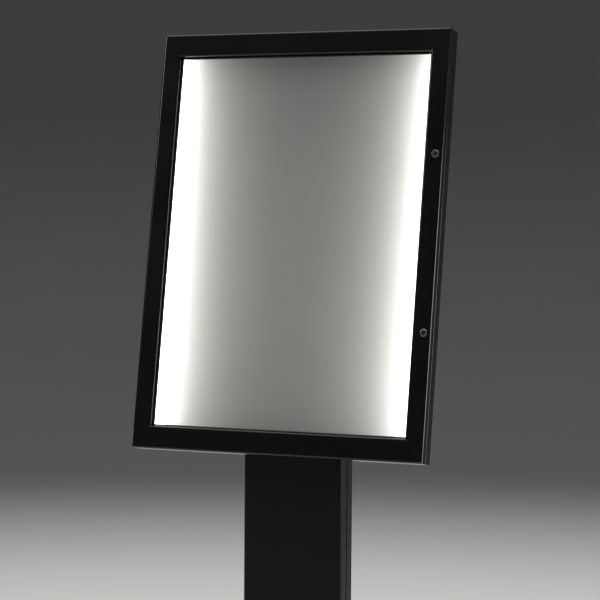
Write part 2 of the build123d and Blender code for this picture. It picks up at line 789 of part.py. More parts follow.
bead_x = half_w - stile_box
bead_y = half_h - rail_box
nut_clear = nut_flats / 3**0.5 + 2 * running_gap
bead_width = 2 * bead_overlap + pane_gap
with BuildPart() as glazing_beads:
    with BuildSketch(face.offset(door_gap)):
        for sign in (-1, 1):
            with Locations((sign * (bead_x + bead_overlap), 0)):
                Rectangle(bead_width, 2 * (bead_y + bead_overlap - bead_width - running_gap),
                          align=(Align.MAX if sign > 0 else Align.MIN, Align.CENTER))
            with Locations((0, sign * (bead_y + bead_overlap))):
                Rectangle(2 * (bead_x + bead_overlap), bead_width,
                          align=(Align.CENTER, Align.MAX if sign > 0 else Align.MIN))
        with Locations(*lock_points):
            Circle(nut_clear, mode=Mode.SUBTRACT)
        for side in CORNERS:
            with Locations(*bead_screw_points(side)):
                Circle(bead_screw_radius + slip_gap, mode=Mode.SUBTRACT)
    extrude(amount=-bead_thickness)
save(glazing_beads, "glazing_beads")

bead_screws = screw_group(
    [Plane(origin=face.from_local_coords((u, v, door_gap - bead_thickness)), z_dir=-face.z_dir).location
     for side in CORNERS
     for u, v in bead_screw_points(side)],
    bead_screw_head, bead_screw_head_height, bead_screw_radius, bead_thickness + profile_wall)
save(bead_screws, "bead_screws")

# Continuous hinge: two leaves with interleaved knuckles on one pin
axis_out = knuckle_radius + hinge_leaf / 2
hinge_w = door_gap / 2
hinge_plane = Plane(origin=face.from_local_coords((-half_w - axis_out, 0, hinge_w)),
                    x_dir=face.x_dir, z_dir=face.y_dir)
knuckle_pitch = hinge_length / hinge_knuckles
knuckle_starts = [-hinge_length / 2 + n * knuckle_pitch for n in range(hinge_knuckles)]


# side +1 is the leaf on the case, -1 the leaf on the door; reach is how far it lies back or forward.
# Beside the other leaf's knuckles the plate stops short of them.
def hinge_leaf_part(side, starts, reach, rivet_planes):
    plate_start = knuckle_radius + knuckle_notch
    with BuildPart() as leaf:
        for start in starts:
            with BuildSketch(hinge_plane.offset(start + running_gap / 2)):
                Circle(knuckle_radius)
                with Locations((knuckle_radius, side * plate_start / 2)):
                    Rectangle(hinge_leaf, plate_start)
                Circle(pin_radius + running_gap, mode=Mode.SUBTRACT)
            extrude(amount=knuckle_pitch - running_gap)
        with BuildSketch(hinge_plane.offset(-hinge_length / 2)):
            with Locations((knuckle_radius, side * (plate_start + reach) / 2)):
                Rectangle(hinge_leaf, reach - plate_start)
        extrude(amount=hinge_length)
        with BuildSketch(*rivet_planes):
            Circle(rivet_radius + slip_gap)
        extrude(amount=hinge_leaf, mode=Mode.SUBTRACT)
    return leaf


case_leaf_reach = hinge_w + case_depth - leaf_margin
door_leaf_reach = door_front - hinge_w - leaf_margin
save(hinge_leaf_part(1, knuckle_starts[0::2], case_leaf_reach, case_rivet_places), "hinge_case_leaf")
save(hinge_leaf_part(-1, knuckle_starts[1::2], door_leaf_reach, door_rivet_places), "hinge_door_leaf")

with BuildPart() as hinge_pin:
    with BuildSketch(hinge_plane.offset(-hinge_length / 2)):
        Circle(pin_radius)
    extrude(amount=hinge_length)
save(hinge_pin, "hinge_pin")


# Rivets with low round heads on a leaf
def rivet_group(planes):
    with BuildPart() as rivets:
        with BuildSketch(*[plane.offset(hinge_leaf) for plane in planes]):
            Circle(rivet_head)
        extrude(amount=rivet_head_height)
        fillet(rivets.edges().filter_by(GeomType.CIRCLE).group_by(Axis.X)[0], rivet_head_round)
        with BuildSketch(*[plane.offset(hinge_leaf) for plane in planes]):
            Circle(rivet_radius)
        extrude(amount=-hinge_leaf - profile_wall)
    return rivets


save(rivet_group(case_rivet_places), "hinge_case_rivets")
save(rivet_group(door_rivet_places), "hinge_door_rivets")

# Locks: barrel through the stile, spindle with a pin-hex socket, cam and its screw
nut_height = door_gap - nut_lift
barrel_top = door_front + barrel_flange_height
spindle_top = barrel_top - spindle_recess
for name, (u, v) in zip(("upper", "lower"), lock_points):
    lock_plane = Plane(origin=face.from_local_coords((u, v, 0)), x_dir=face.x_dir, z_dir=face.z_dir)
    with BuildPart() as lock_barrel:
        with BuildSketch(lock_plane.offset(door_front)):
            Circle(barrel_flange_radius)
        extrude(amount=barrel_flange_height)
        fillet(lock_barrel.faces().sort_by(Axis.Y)[0].edges(), barrel_flange_round)
        with BuildSketch(lock_plane.offset(door_front)):
            Circle(barrel_radius)
        extrude(amount=-door_depth - nut_height)
        with BuildSketch(lock_plane.offset(barrel_top)):
            Circle(spindle_head_radius + running_gap)
        extrude(amount=-spindle_recess - spindle_head_depth - running_gap, mode=Mode.SUBTRACT)
        with BuildSketch(lock_plane.offset(door_front)):
            Circle(spindle_radius + running_gap)
        extrude(amount=-door_depth - nut_height, mode=Mode.SUBTRACT)
    save(lock_barrel, f"{name}_lock_barrel")

    with BuildPart() as lock_spindle:
        with BuildSketch(lock_plane.offset(spindle_top)):
            Circle(spindle_head_radius)
        extrude(amount=-spindle_head_depth)
        with BuildSketch(lock_plane.offset(cam_front)):
            Circle(spindle_radius)
        extrude(amount=spindle_top - spindle_head_depth - cam_front)
        with BuildSketch(lock_plane.offset(cam_front)):
            Rectangle(spindle_square, spindle_square)
        extrude(amount=-cam_thickness)
        with BuildSketch(lock_plane.offset(spindle_top)):
            RegularPolygon(socket_radius, 6)
            Circle(socket_pin_radius, mode=Mode.SUBTRACT)
        extrude(amount=-socket_depth, mode=Mode.SUBTRACT)
        with BuildSketch(lock_plane.offset(cam_back)):
            Circle(cam_screw_radius + slip_gap)
        extrude(amount=cam_screw_length + seat_gap, mode=Mode.SUBTRACT)
    save(lock_spindle, f"{name}_lock_spindle")

    # the cam hangs down when unlocked and swings behind the strike flange to lock
    with BuildPart() as lock_cam:
        with BuildSketch(lock_plane.offset(cam_front)):
            Circle(cam_half_width)
            with Locations((0, -(cam_reach - cam_half_width) / 2)):
                Rectangle(2 * cam_half_width, cam_reach - cam_half_width)
            with Locations((0, -cam_reach + cam_half_width)):
                Circle(cam_half_width)
            Rectangle(spindle_square + slip_gap, spindle_square + slip_gap, mode=Mode.SUBTRACT)
        extrude(amount=-cam_thickness)
    save(lock_cam, f"{name}_lock_cam")

    cam_seat = Plane(origin=lock_plane.offset(cam_back).origin, z_dir=-face.z_dir)
    cam_screw = screw_group([cam_seat.location], cam_screw_head, cam_screw_head_height, cam_screw_radius,
                            cam_screw_length)
    save(cam_screw, f"{name}_cam_screw")

lock_nuts = nut_group(
    [Plane(origin=face.from_local_coords((u, v, door_gap)), x_dir=face.y_dir, z_dir=-face.z_dir).location
     for u, v in lock_points],
    nut_flats, nut_height, barrel_radius + slip_gap)
save(lock_nuts, "lock_nuts")
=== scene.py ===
"""Finishes, gasket fin, weld beads, lead clips and studio for a free-standing lit menu case."""

import json
import math

import bpy
from bpy.props import FloatProperty, FloatVectorProperty, PointerProperty
from mathutils import Matrix, Vector


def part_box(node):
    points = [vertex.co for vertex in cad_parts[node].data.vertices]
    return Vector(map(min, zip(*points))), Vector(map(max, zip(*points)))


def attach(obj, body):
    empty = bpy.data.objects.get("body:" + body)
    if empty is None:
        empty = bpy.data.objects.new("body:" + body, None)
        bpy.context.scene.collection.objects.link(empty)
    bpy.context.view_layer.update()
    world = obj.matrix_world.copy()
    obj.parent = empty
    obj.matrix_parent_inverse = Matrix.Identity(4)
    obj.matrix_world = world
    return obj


bl_info = {
    "name": "Lit menu case",
    "version": (1, 0, 0),
    "blender": (4, 5, 0),
    "location": "View3D > Sidebar > Menu case",
    "description": "Dresses the packed frame of a lit menu case and sets it in a plain studio",
    "category": "Object",
}

MM = 0.001
# Keeps laid-on trim just clear of the surface under it
HAIR = 0.02 * MM
# Most of a noise texture's values lie between these
NOISE_LOW, NOISE_HIGH = 0.3, 0.7
# A colour mix node's sockets: the share of the second colour, the two colours, and the result
SHARE, FIRST, SECOND, MIXED = 0, 6, 7, 2

# Name, place, width and height in metres, and watts
SOFTBOXES = (
    ("left_softbox", (-4.1, -2.4, 3.2), 3.0, 0.9, 9.0),
    ("right_softbox", (4.75, 2.0, 1.35), 2.8, 1.3, 23.0),
)
SOFTBOX_AIM = Vector((0, 0, 1.1))
# A grid in front of each softbox keeps its light off the floor
SOFTBOX_SPREAD = math.radians(90)
# Where the picture was taken from: right of the window, about level with its middle
CAMERA_PLACE = Vector((1.1936, -2.9134, 1.3745))
CAMERA_AIM = Vector((0.0201, -0.0460, 1.2317))

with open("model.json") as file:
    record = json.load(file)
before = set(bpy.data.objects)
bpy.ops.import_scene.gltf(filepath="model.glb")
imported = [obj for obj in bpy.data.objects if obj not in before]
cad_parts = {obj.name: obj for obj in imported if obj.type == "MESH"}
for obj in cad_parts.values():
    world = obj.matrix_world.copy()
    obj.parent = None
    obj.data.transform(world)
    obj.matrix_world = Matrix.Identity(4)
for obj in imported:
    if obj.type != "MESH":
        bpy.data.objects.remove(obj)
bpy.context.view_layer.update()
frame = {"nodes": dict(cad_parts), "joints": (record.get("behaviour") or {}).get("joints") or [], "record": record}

# The leaning face: its own up direction is the hinge pin's, and it looks out towards the reader
hinge = next(joint for joint in frame["joints"] if joint["name"] == "door_hinge")
face_up = -Vector(hinge["axis"]).normalized()
face_out = Vector((0.0, -face_up.z, face_up.y))
lean = math.atan2(face_up.y, face_up.z)


def linear(hex_colour):
    """Linear red, green and blue of an sRGB hex colour."""
    channels = [int(hex_colour[i:i + 2], 16) / 255 for i in (1, 3, 5)]
    return tuple(c / 12.92 if c <= 0.04045 else ((c + 0.055) / 1.055) ** 2.4 for c in channels)


def reach(node, direction):
    """Lowest and highest point of a CAD node along a direction, in metres."""
    along = [vertex.co.dot(direction) for vertex in frame["nodes"][node].data.vertices]
    return min(along), max(along)


def opening_left(node):
    """Left edge of the opening in a framing CAD node, in metres."""
    return max(vertex.co.x for vertex in frame["nodes"][node].data.vertices if vertex.co.x < 0)


def add(tree, kind, inputs=(), **settings):
    """Adds a node, sets its properties, and sets or links its inputs."""
    node = tree.nodes.new(kind)
    for name, value in settings.items():
        setattr(node, name, value)
    for socket, value in dict(inputs).items():
        if isinstance(value, bpy.types.NodeSocket):
            tree.links.new(value, node.inputs[socket])
        else:
            node.inputs[socket].default_value = value
    return node


def begin(name, values):
    """Starts a material with constant shader values.

    Gives the material, its tree, its shader and the place on the object in metres.
    """
    made = bpy.data.materials.new(name)
    made.use_nodes = True
    tree = made.node_tree
    shader = tree.nodes["Principled BSDF"]
    for socket, value in values.items():
        shader.inputs[socket].default_value = value
    return made, tree, shader, add(tree, "ShaderNodeTexCoord").outputs["Object"]


def mottle(tree, shader, place, colours, gloss, patch):
    """Drifts the colour and the roughness between two values over patches of this size in mm."""
    cloud = add(tree, "ShaderNodeTexNoise", {
        "Vector": place, "Scale": 1 / (patch * MM), "Detail": 4.0}).outputs["Fac"]
    drift = add(tree, "ShaderNodeMapRange", {
        "Value": cloud, "From Min": NOISE_LOW, "From Max": NOISE_HIGH}).outputs["Result"]
    mixed = add(tree, "ShaderNodeMix", {
        SHARE: drift, FIRST: (*colours[0], 1), SECOND: (*colours[1], 1)}, data_type="RGBA")
    tree.links.new(mixed.outputs[MIXED], shader.inputs["Base Color"])
    rough = add(tree, "ShaderNodeMapRange", {
        "Value": cloud, "From Min": NOISE_LOW, "From Max": NOISE_HIGH,
        "To Min": gloss[0], "To Max": gloss[1]})
    tree.links.new(rough.outputs["Result"], shader.inputs["Roughness"])
    return mixed.outputs[MIXED], drift


def chip_wave(tree, place, pitch):
    """Wave between -1 and 1 up the face, with a crest at each chip of a strip."""
    along = add(tree, "ShaderNodeVectorMath", {
        0: place, 1: face_up}, operation="DOT_PRODUCT").outputs["Value"]
    turn = add(tree, "ShaderNodeMath", {
        0: along, 1: 2 * math.pi / pitch}, operation="MULTIPLY").outputs[0]
    return add(tree, "ShaderNodeMath", {0: turn}, operation="COSINE").outputs[0]


def raise_grain(tree, shader, height, depth):
    """Raises the surface by a pattern whose full height is this many mm."""
    bump = add(tree, "ShaderNodeBump", {"Height": height, "Strength": 1.0, "Distance": depth * MM})
    tree.links.new(bump.outputs["Normal"], shader.inputs["Normal"])


def shade(colour, gain):
    """The same colour, lighter or darker."""
    return tuple(channel * gain for channel in colour)


def powder_coated_steel(colour):
    """Black powder coat on folded steel: matt, with orange peel and a little dust at the ground."""
    made, tree, shader, place = begin("fine_textured_powder_coat_on_steel", {
        "IOR": 1.5, "Specular IOR Level": 0.2})
    coat, drift = mottle(tree, shader, place, (colour, shade(colour, 1.25)), (0.38, 0.46), 140)
    # Dust that splashes up and dries, and thins out upward
    dust_height, dust_share = 90 * MM, 0.1
    height = add(tree, "ShaderNodeSeparateXYZ", {0: place}).outputs["Z"]
    low = add(tree, "ShaderNodeMapRange", {
        "Value": height, "From Min": 0.0, "From Max": dust_height,
        "To Min": dust_share, "To Max": 0.0}).outputs["Result"]
    dust = add(tree, "ShaderNodeMath", {0: low, 1: drift}, operation="MULTIPLY").outputs[0]
    dusted = add(tree, "ShaderNodeMix", {
        SHARE: dust, FIRST: coat, SECOND: (*linear("#6E6A63"), 1)}, data_type="RGBA")
    tree.links.new(dusted.outputs[MIXED], shader.inputs["Base Color"])
    # Orange peel of 1 mm, drawn at 3 mm so that it shows
    peel = add(tree, "ShaderNodeTexNoise", {"Vector": place, "Scale": 1 / (3 * MM), "Detail": 2.0})
    raise_grain(tree, shader, peel.outputs["Fac"], 0.11)
    return made


def coated_extrusion(name, colour, run_across):
    """Satin black powder coat on extruded aluminium: smooth, with faint die lines along the bar."""
    made, tree, shader, place = begin(name, {"IOR": 1.5})
    mottle(tree, shader, place, (colour, shade(colour, 1.2)), (0.15, 0.21), 110)
    # Turned upright, so that X runs across the face and Z up it
    upright = add(tree, "ShaderNodeMapping", {
        "Vector": place, "Rotation": (lean, 0, 0)}).outputs[0]
    # Die lines of 0.5 mm, drawn at 2.5 mm so that they show, that is 400 to the metre
    fine = 400.0
    stretch = (1.0, fine, fine) if run_across else (fine, fine, 1.0)
    drawn = add(tree, "ShaderNodeVectorMath", {
        0: upright, 1: stretch}, operation="MULTIPLY").outputs[0]
    lines = add(tree, "ShaderNodeTexNoise", {"Vector": drawn, "Scale": 1.0, "Detail": 2.0})
    raise_grain(tree, shader, lines.outputs["Fac"], 0.025)
    return made


def enamel_sheet_with_painted_strip_light(colour, light, gains, limit):
    """Grey enamel on thin steel: smooth and satin, with the light of the two strips beside it painted on as a
    glow.
    """
    made, tree, shader, place = begin("satin_enamel_with_painted_strip_light", {
        "IOR": 1.5, "Emission Color": (*light, 1)})
    mottle(tree, shader, place, (colour, shade(colour, 1.04)), (0.42, 0.5), 60)
    across = add(tree, "ShaderNodeSeparateXYZ", {0: place}).outputs["X"]
    along = add(tree, "ShaderNodeVectorMath", {
        0: place, 1: face_up}, operation="DOT_PRODUCT").outputs["Value"]
    foot, head = reach("left_led_diffuser", face_up)
    # The painted glow runs on past the strips' ends, standing for light that the case's end walls throw back
    past_foot, past_head = 30 * MM, 22 * MM
    foot, head = foot - past_foot, head + past_head
    # The painted glow is brightest at the foot, as if the strips were fed there and grew dimmer along their length
    feed_foot, feed_head = 1.27, 0.77
    drop = add(tree, "ShaderNodeMapRange", {
        "Value": along, "From Min": foot, "From Max": head,
        "To Min": feed_foot, "To Max": feed_head}).outputs["Result"]
    left_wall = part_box("left_led_channel")[0].x
    right_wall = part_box("right_led_channel")[1].x
    ends = [add(tree, "ShaderNodeMath", pair, operation="SUBTRACT").outputs[0]
            for pair in ({0: along, 1: foot}, {0: head, 1: along})]
    sides = (({0: across, 1: left_wall}, gains[0]), ({0: right_wall, 1: across}, gains[1]))
    painted_washes = []
    # Painted light of a strip of finite length beside a sheet that turns away from it: it falls with the square
    # of the distance, and by the part of the strip that a point of the sheet sees
    for pair, gain in sides:
        away = add(tree, "ShaderNodeMath", pair, operation="SUBTRACT").outputs[0]
        fall = add(tree, "ShaderNodeMath", {0: away, 1: -2.0}, operation="POWER").outputs[0]
        seen = []
        for end in ends:
            angle = add(tree, "ShaderNodeMath", {0: end, 1: away}, operation="ARCTAN2").outputs[0]
            seen.append(add(tree, "ShaderNodeMath", {0: angle}, operation="SINE").outputs[0])
        share = add(tree, "ShaderNodeMath", {0: seen[0], 1: seen[1]}, operation="ADD").outputs[0]
        wash = add(tree, "ShaderNodeMath", {0: fall, 1: share}, operation="MULTIPLY").outputs[0]
        painted_washes.append(add(tree, "ShaderNodeMath", {
            0: wash, 1: gain / 2}, operation="MULTIPLY").outputs[0])
    both = add(tree, "ShaderNodeMath", {0: painted_washes[0], 1: painted_washes[1]}, operation="ADD").outputs[0]
    fed = add(tree, "ShaderNodeMath", {0: both, 1: drop}, operation="MULTIPLY").outputs[0]
    # The painted light, capped at its brightest, is given to the sheet as its own glow
    lit = add(tree, "ShaderNodeMath", {0: fed, 1: limit}, operation="MINIMUM").outputs[0]
    tree.links.new(lit, shader.inputs["Emission Strength"])
    # Flow of the enamel, 8 mm
    flow = add(tree, "ShaderNodeTexNoise", {"Vector": place, "Scale": 1 / (8 * MM), "Detail": 1.0})
    raise_grain(tree, shader, flow.outputs["Fac"], 0.03)
    return made


def cast_acrylic():
    """Clear cast acrylic: a faint cool edge, and wiping marks that only change its gloss."""
    made, tree, shader, place = begin("clear_cast_acrylic", {
        "IOR": 1.49, "Transmission Weight": 1.0, "Base Color": (*linear("#FBFDFC"), 1)})
    upright = add(tree, "ShaderNodeMapping", {
        "Vector": place, "Rotation": (lean, 0, 0)}).outputs[0]
    # Arcs of a cloth, 40 mm wide
    wiped = add(tree, "ShaderNodeTexNoise", {
        "Vector": upright, "Scale": 1 / (40 * MM), "Detail": 3.0, "Distortion": 1.5})
    rough = add(tree, "ShaderNodeMapRange", {
        "Value": wiped.outputs["Fac"], "From Min": 0.45, "From Max": 0.8,
        "To Min": 0.0, "To Max": 0.035})
    tree.links.new(rough.outputs["Result"], shader.inputs["Roughness"])
    return made


def opal_polycarbonate(light, strength, pitch):
    """Opal extruded polycarbonate: white and even, a little brighter in front of each chip."""
    made, tree, shader, place = begin("opal_polycarbonate_cover", {
        "IOR": 1.58, "Emission Color": (*light, 1)})
    mottle(tree, shader, place, (linear("#EFEFEC"), linear("#F4F4F1")), (0.4, 0.48), 30)
    between_chips = 0.85 * strength
    glow = add(tree, "ShaderNodeMapRange", {
        "Value": chip_wave(tree, place, pitch), "From Min": -1.0, "From Max": 1.0,
        "To Min": between_chips, "To Max": strength}).outputs["Result"]
    tree.links.new(glow, shader.inputs["Emission Strength"])
    return made


def drawn_aluminium():
    """Uncoated extruded aluminium: pale grey metal with bright die lines up its length."""
    made, tree, shader, place = begin("mill_finish_extruded_aluminium", {"Metallic": 1.0})
    mottle(tree, shader, place, (linear("#C6C7C8"), linear("#D3D4D4")), (0.28, 0.4), 25)
    upright = add(tree, "ShaderNodeMapping", {
        "Vector": place, "Rotation": (lean, 0, 0)}).outputs[0]
    # Die lines of 0.4 mm, drawn at 1.2 mm so that they show, that is 830 to the metre
    fine, slow = 830.0, 2.0
    drawn = add(tree, "ShaderNodeVectorMath", {
        0: upright, 1: (fine, fine, slow)}, operation="MULTIPLY").outputs[0]
    lines = add(tree, "ShaderNodeTexNoise", {"Vector": drawn, "Scale": 1.0, "Detail": 3.0})
    raise_grain(tree, shader, lines.outputs["Fac"], 0.03)
    return made


def plated_metal(name, colours, gloss, patch, pit):
    """Plated steel: metal whose tint and gloss drift over patches, with pits of this size in mm."""
    made, tree, shader, place = begin(name, {"Metallic": 1.0})
    mottle(tree, shader, place, colours, gloss, patch)
    pits = add(tree, "ShaderNodeTexNoise", {
        "Vector": place, "Scale": 1 / (pit * MM), "Detail": 3.0})
    raise_grain(tree, shader, pits.outputs["Fac"], 0.01)
    return made


def polished_chrome():
    """Polished chrome plate: bright and sharp, with painted shade down in the key sockets."""
    made = plated_metal(
        "polished_chrome_plate", (linear("#C9CBCD"), linear("#D6D7D9")), (0.08, 0.16), 6, 0.8)
    tree = made.node_tree
    shader = tree.nodes["Principled BSDF"]
    bright = shader.inputs["Base Color"].links[0].from_socket
    place = add(tree, "ShaderNodeTexCoord").outputs["Object"]
    # Painted shade in the sockets: the chrome turns dark grey with depth below the top of the spindle
    depth = add(tree, "ShaderNodeVectorMath", {
        0: place, 1: face_out}, operation="DOT_PRODUCT").outputs["Value"]
    top = reach("upper_lock_spindle", face_out)[1]
    shade_start_depth, full_shade_depth = 0.4 * MM, 1.6 * MM
    sunk_shade = add(tree, "ShaderNodeMapRange", {
        "Value": depth, "From Min": top - shade_start_depth,
        "From Max": top - full_shade_depth}).outputs["Result"]
    painted_shade = add(tree, "ShaderNodeMix", {
        SHARE: sunk_shade, FIRST: bright, SECOND: (*linear("#2C2B29"), 1)}, data_type="RGBA")
    tree.links.new(painted_shade.outputs[MIXED], shader.inputs["Base Color"])
    return made


def moulded_polymer(name, colours, gloss, grain, depth, ior):
    """Moulded or extruded polymer: one colour with slight flow marks, and a fine grain."""
    made, tree, shader, place = begin(name, {"IOR": ior})
    mottle(tree, shader, place, colours, gloss, 18)
    cells = add(tree, "ShaderNodeTexVoronoi", {
        "Vector": place, "Scale": 1 / (grain * MM)}, feature="SMOOTH_F1")
    raise_grain(tree, shader, cells.outputs["Distance"], depth)
    return made


def black_nylon():
    """Glass-filled moulded nylon: black and dry, with a grain of 0.4 mm drawn at 0.9 mm."""
    name = "moulded_glass_filled_nylon"
    return bpy.data.materials.get(name) or moulded_polymer(
        name, (linear("#19191A"), linear("#212122")), (0.5, 0.62), 0.9, 0.03, 1.53)


def strip_board(pitch):
    """White solder mask on the strip's board, with a tinned pad at each chip."""
    made, tree, shader, place = begin("white_solder_mask_on_board", {"IOR": 1.55})
    white, _ = mottle(tree, shader, place, (linear("#E9EAE6"), linear("#F1F2EE")), (0.3, 0.4), 12)
    # A pad takes up a fifth of the pitch, and its edge is sharp
    pad_edge, pad_full = 0.8, 0.84
    pad = add(tree, "ShaderNodeMapRange", {
        "Value": chip_wave(tree, place, pitch),
        "From Min": pad_edge, "From Max": pad_full}).outputs["Result"]
    tinned = add(tree, "ShaderNodeMix", {
        SHARE: pad, FIRST: white, SECOND: (*linear("#C9CBCC"), 1)}, data_type="RGBA")
    tree.links.new(tinned.outputs[MIXED], shader.inputs["Base Color"])
    tree.links.new(pad, shader.inputs["Metallic"])
    return made


def studio_paint(floor, wall, near, far):
    """Matt emulsion rolled on boards: pale about the case, grey towards the wall, stippled."""
    made, tree, shader, place = begin("matt_emulsion_paint", {"IOR": 1.45})
    pale, _ = mottle(tree, shader, place, (floor, shade(floor, 0.97)), (0.75, 0.85), 900)
    away = add(tree, "ShaderNodeVectorMath", {0: place}, operation="LENGTH").outputs["Value"]
    outward = add(tree, "ShaderNodeMapRange", {
        "Value": away, "From Min": near, "From Max": far},
        interpolation_type="SMOOTHSTEP").outputs["Result"]
    graded = add(tree, "ShaderNodeMix", {
        SHARE: outward, FIRST: pale, SECOND: (*wall, 1)}, data_type="RGBA")
    tree.links.new(graded.outputs[MIXED], shader.inputs["Base Color"])
    # Stipple of a roller, 4 mm
    stipple = add(tree, "ShaderNodeTexNoise", {
        "Vector": place, "Scale": 1 / (4 * MM), "Detail": 2.0})
    raise_grain(tree, shader, stipple.outputs["Fac"], 0.1)
    return made


def finish_nodes(names, made):
    """Gives a material to these CAD nodes."""
    for name in names:
        slots = frame["nodes"][name].data.materials
        slots.clear()
        slots.append(made)


def finish_slot(slot, made):
    """Gives a material to every CAD node of one of the record's slots."""
    parts = frame["record"]["subparts"]
    names = [part["node"] for part in parts if part["material_slot"] == slot]
    if not names:
        raise RuntimeError(f"no node has the slot {slot}")
    finish_nodes(names, made)


def make_piece(name, points, faces, made, body=None):
    """Links a smooth mesh piece with its material, and rides it on a body."""
    mesh = bpy.data.meshes.new(name)
    mesh.from_pydata(points, [], faces)
    mesh.validate()
    mesh.shade_smooth()
    mesh.materials.append(made)
    piece = bpy.data.objects.new(name, mesh)
    bpy.context.scene.collection.objects.link(piece)
    if body:
        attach(piece, body)
    return piece


def loft(rings, capped=False, looped=False):
    """Points and faces of a skin over equal closed rings, with its ends capped or joined up."""
    count = len(rings[0])
    points = [point for ring in rings for point in ring]
    faces = []
    for i in range(len(rings) if looped else len(rings) - 1):
        here, there = i * count, (i + 1) % len(rings) * count
        for j in range(count):
            k = (j + 1) % count
            faces.append((here + j, here + k, there + k, there + j))
    if capped:
        faces += [tuple(range(count))[::-1], tuple(range(len(points) - count, len(points)))]
    return points, faces


class MenuCaseFinishes(bpy.types.PropertyGroup):
    """Colours and light of the case."""

    coat: FloatVectorProperty(
        name="Coat", description="Black powder coat", subtype="COLOR",
        default=linear("#0D0D0E"))
    liner: FloatVectorProperty(
        name="Liner", description="Grey enamel of the back panel", subtype="COLOR",
        default=linear("#A2A19E"))
    light: FloatVectorProperty(
        name="Light", description="Colour of the light strips", subtype="COLOR",
        default=linear("#FFFEF8"))
    strip_glow: FloatProperty(
        name="Strip glow", description="Brightness of the opal covers", default=10.0, min=0.0)
    # Strengths of the strips' light painted on the liner as its own glow
    left_painted_wash: FloatProperty(
        name="Left wash",
        description="Light that the left strip throws on the liner, by square metre",
        default=0.0037, min=0.0, precision=4)
    right_painted_wash: FloatProperty(
        name="Right wash",
        description="Light that the right strip throws on the liner, by square metre",
        default=0.004, min=0.0, precision=4)
    painted_wash_limit: FloatProperty(
        name="Wash limit", description="Brightest that the liner gets beside a strip",
        default=5.0, min=0.0)
    chip_pitch: FloatProperty(
        name="Chip pitch", description="Distance between the light chips", default=24.5 * MM,
        unit="LENGTH", subtype="DISTANCE")


class MenuCaseDetails(bpy.types.PropertyGroup):
    """Sizes of the gasket's fin, the weld beads and the lead clips."""

    fin_width: FloatProperty(
        name="Fin width", description="How far the gasket's fin stands out from under the frame",
        default=3 * MM, unit="LENGTH", subtype="DISTANCE")
    fin_height: FloatProperty(
        name="Fin height", description="Height of the gasket's fin on the pane", default=2.3 * MM,
        unit="LENGTH", subtype="DISTANCE")
    weld_leg: FloatProperty(
        name="Weld leg", description="Leg of the fillet weld on the bracket", default=3.5 * MM,
        unit="LENGTH", subtype="DISTANCE")
    weld_step: FloatProperty(
        name="Weld step", description="Distance between the ripples of the weld", default=2.6 * MM,
        unit="LENGTH", subtype="DISTANCE")
    cheek_span: FloatProperty(
        name="Cheek span", description="Outside width over the bracket's cheeks", default=128 * MM,
        unit="LENGTH", subtype="DISTANCE")
    bracket_plate: FloatProperty(
        name="Bracket plate", description="Thickness of the bracket's plates", default=4 * MM,
        unit="LENGTH", subtype="DISTANCE")
    clip_width: FloatProperty(
        name="Clip width", description="Width of a lead clip along the lead", default=7 * MM,
        unit="LENGTH", subtype="DISTANCE")
    clip_wall: FloatProperty(
        name="Clip wall", description="Thickness of a lead clip", default=0.9 * MM,
        unit="LENGTH", subtype="DISTANCE")
    clip_wing: FloatProperty(
        name="Clip wing", description="Length of a clip's foot beside the lead", default=4.5 * MM,
        unit="LENGTH", subtype="DISTANCE")


class MenuCaseStudio(bpy.types.PropertyGroup):
    """Floor, lamps and camera."""

    floor: FloatVectorProperty(
        name="Floor", description="Paint of the floor", subtype="COLOR",
        default=linear("#DEDDDA"))
    wall_paint: FloatVectorProperty(
        name="Wall paint", description="Paint of the wall", subtype="COLOR",
        default=linear("#666563"))
    flat: FloatProperty(
        name="Flat floor", description="Radius of the flat floor", default=7.0,
        unit="LENGTH", subtype="DISTANCE")
    cove: FloatProperty(
        name="Cove", description="Radius of the curve up to the wall", default=2.0,
        unit="LENGTH", subtype="DISTANCE")
    pale_near: FloatProperty(
        name="Pale floor",
        description="Distance from the case at which the pale paint starts to turn grey",
        default=3.2, unit="LENGTH", subtype="DISTANCE")
    pale_far: FloatProperty(
        name="Grey floor",
        description="Distance from the case at which the paint is that of the wall",
        default=7.4, unit="LENGTH", subtype="DISTANCE")
    wall: FloatProperty(
        name="Wall", description="Height of the wall", default=6.0,
        unit="LENGTH", subtype="DISTANCE")
    ceiling: FloatProperty(
        name="Ceiling", description="Brightness of the soft ceiling overhead", default=1.6, min=0.0)
    rim: FloatProperty(
        name="Rim", description="Brightness of the ceiling where it meets the wall",
        default=0.08, min=0.0)
    lens: FloatProperty(
        name="Lens", description="Focal length on a 36 mm sensor", default=120.86, unit="CAMERA")
    roll: FloatProperty(
        name="Roll", description="Turn of the camera about its view", default=math.radians(0.42),
        unit="ROTATION", subtype="ANGLE")


class MENUCASE_OT_steelwork(bpy.types.Operator):
    """Coat the post, the base, the bracket and the hinge leaves"""

    bl_idname = "menucase.steelwork"
    bl_label = "Steelwork"

    def execute(self, context):
        colour = context.scene.menu_case_finishes.coat
        finish_slot("black_coated_steel", powder_coated_steel(colour))
        return {"FINISHED"}


class MENUCASE_OT_extrusions(bpy.types.Operator):
    """Coat the case and door extrusions, with the die lines along each bar"""

    bl_idname = "menucase.extrusions"
    bl_label = "Extrusions"

    def execute(self, context):
        colour = context.scene.menu_case_finishes.coat
        finish_slot(
            "black_coated_aluminium",
            coated_extrusion("satin_powder_coat_on_upright_bar", colour, False))
        finish_nodes(
            ("case_profile_bottom", "case_profile_top", "door_bottom_rail", "door_top_rail"),
            coated_extrusion("satin_powder_coat_on_level_bar", colour, True))
        return {"FINISHED"}


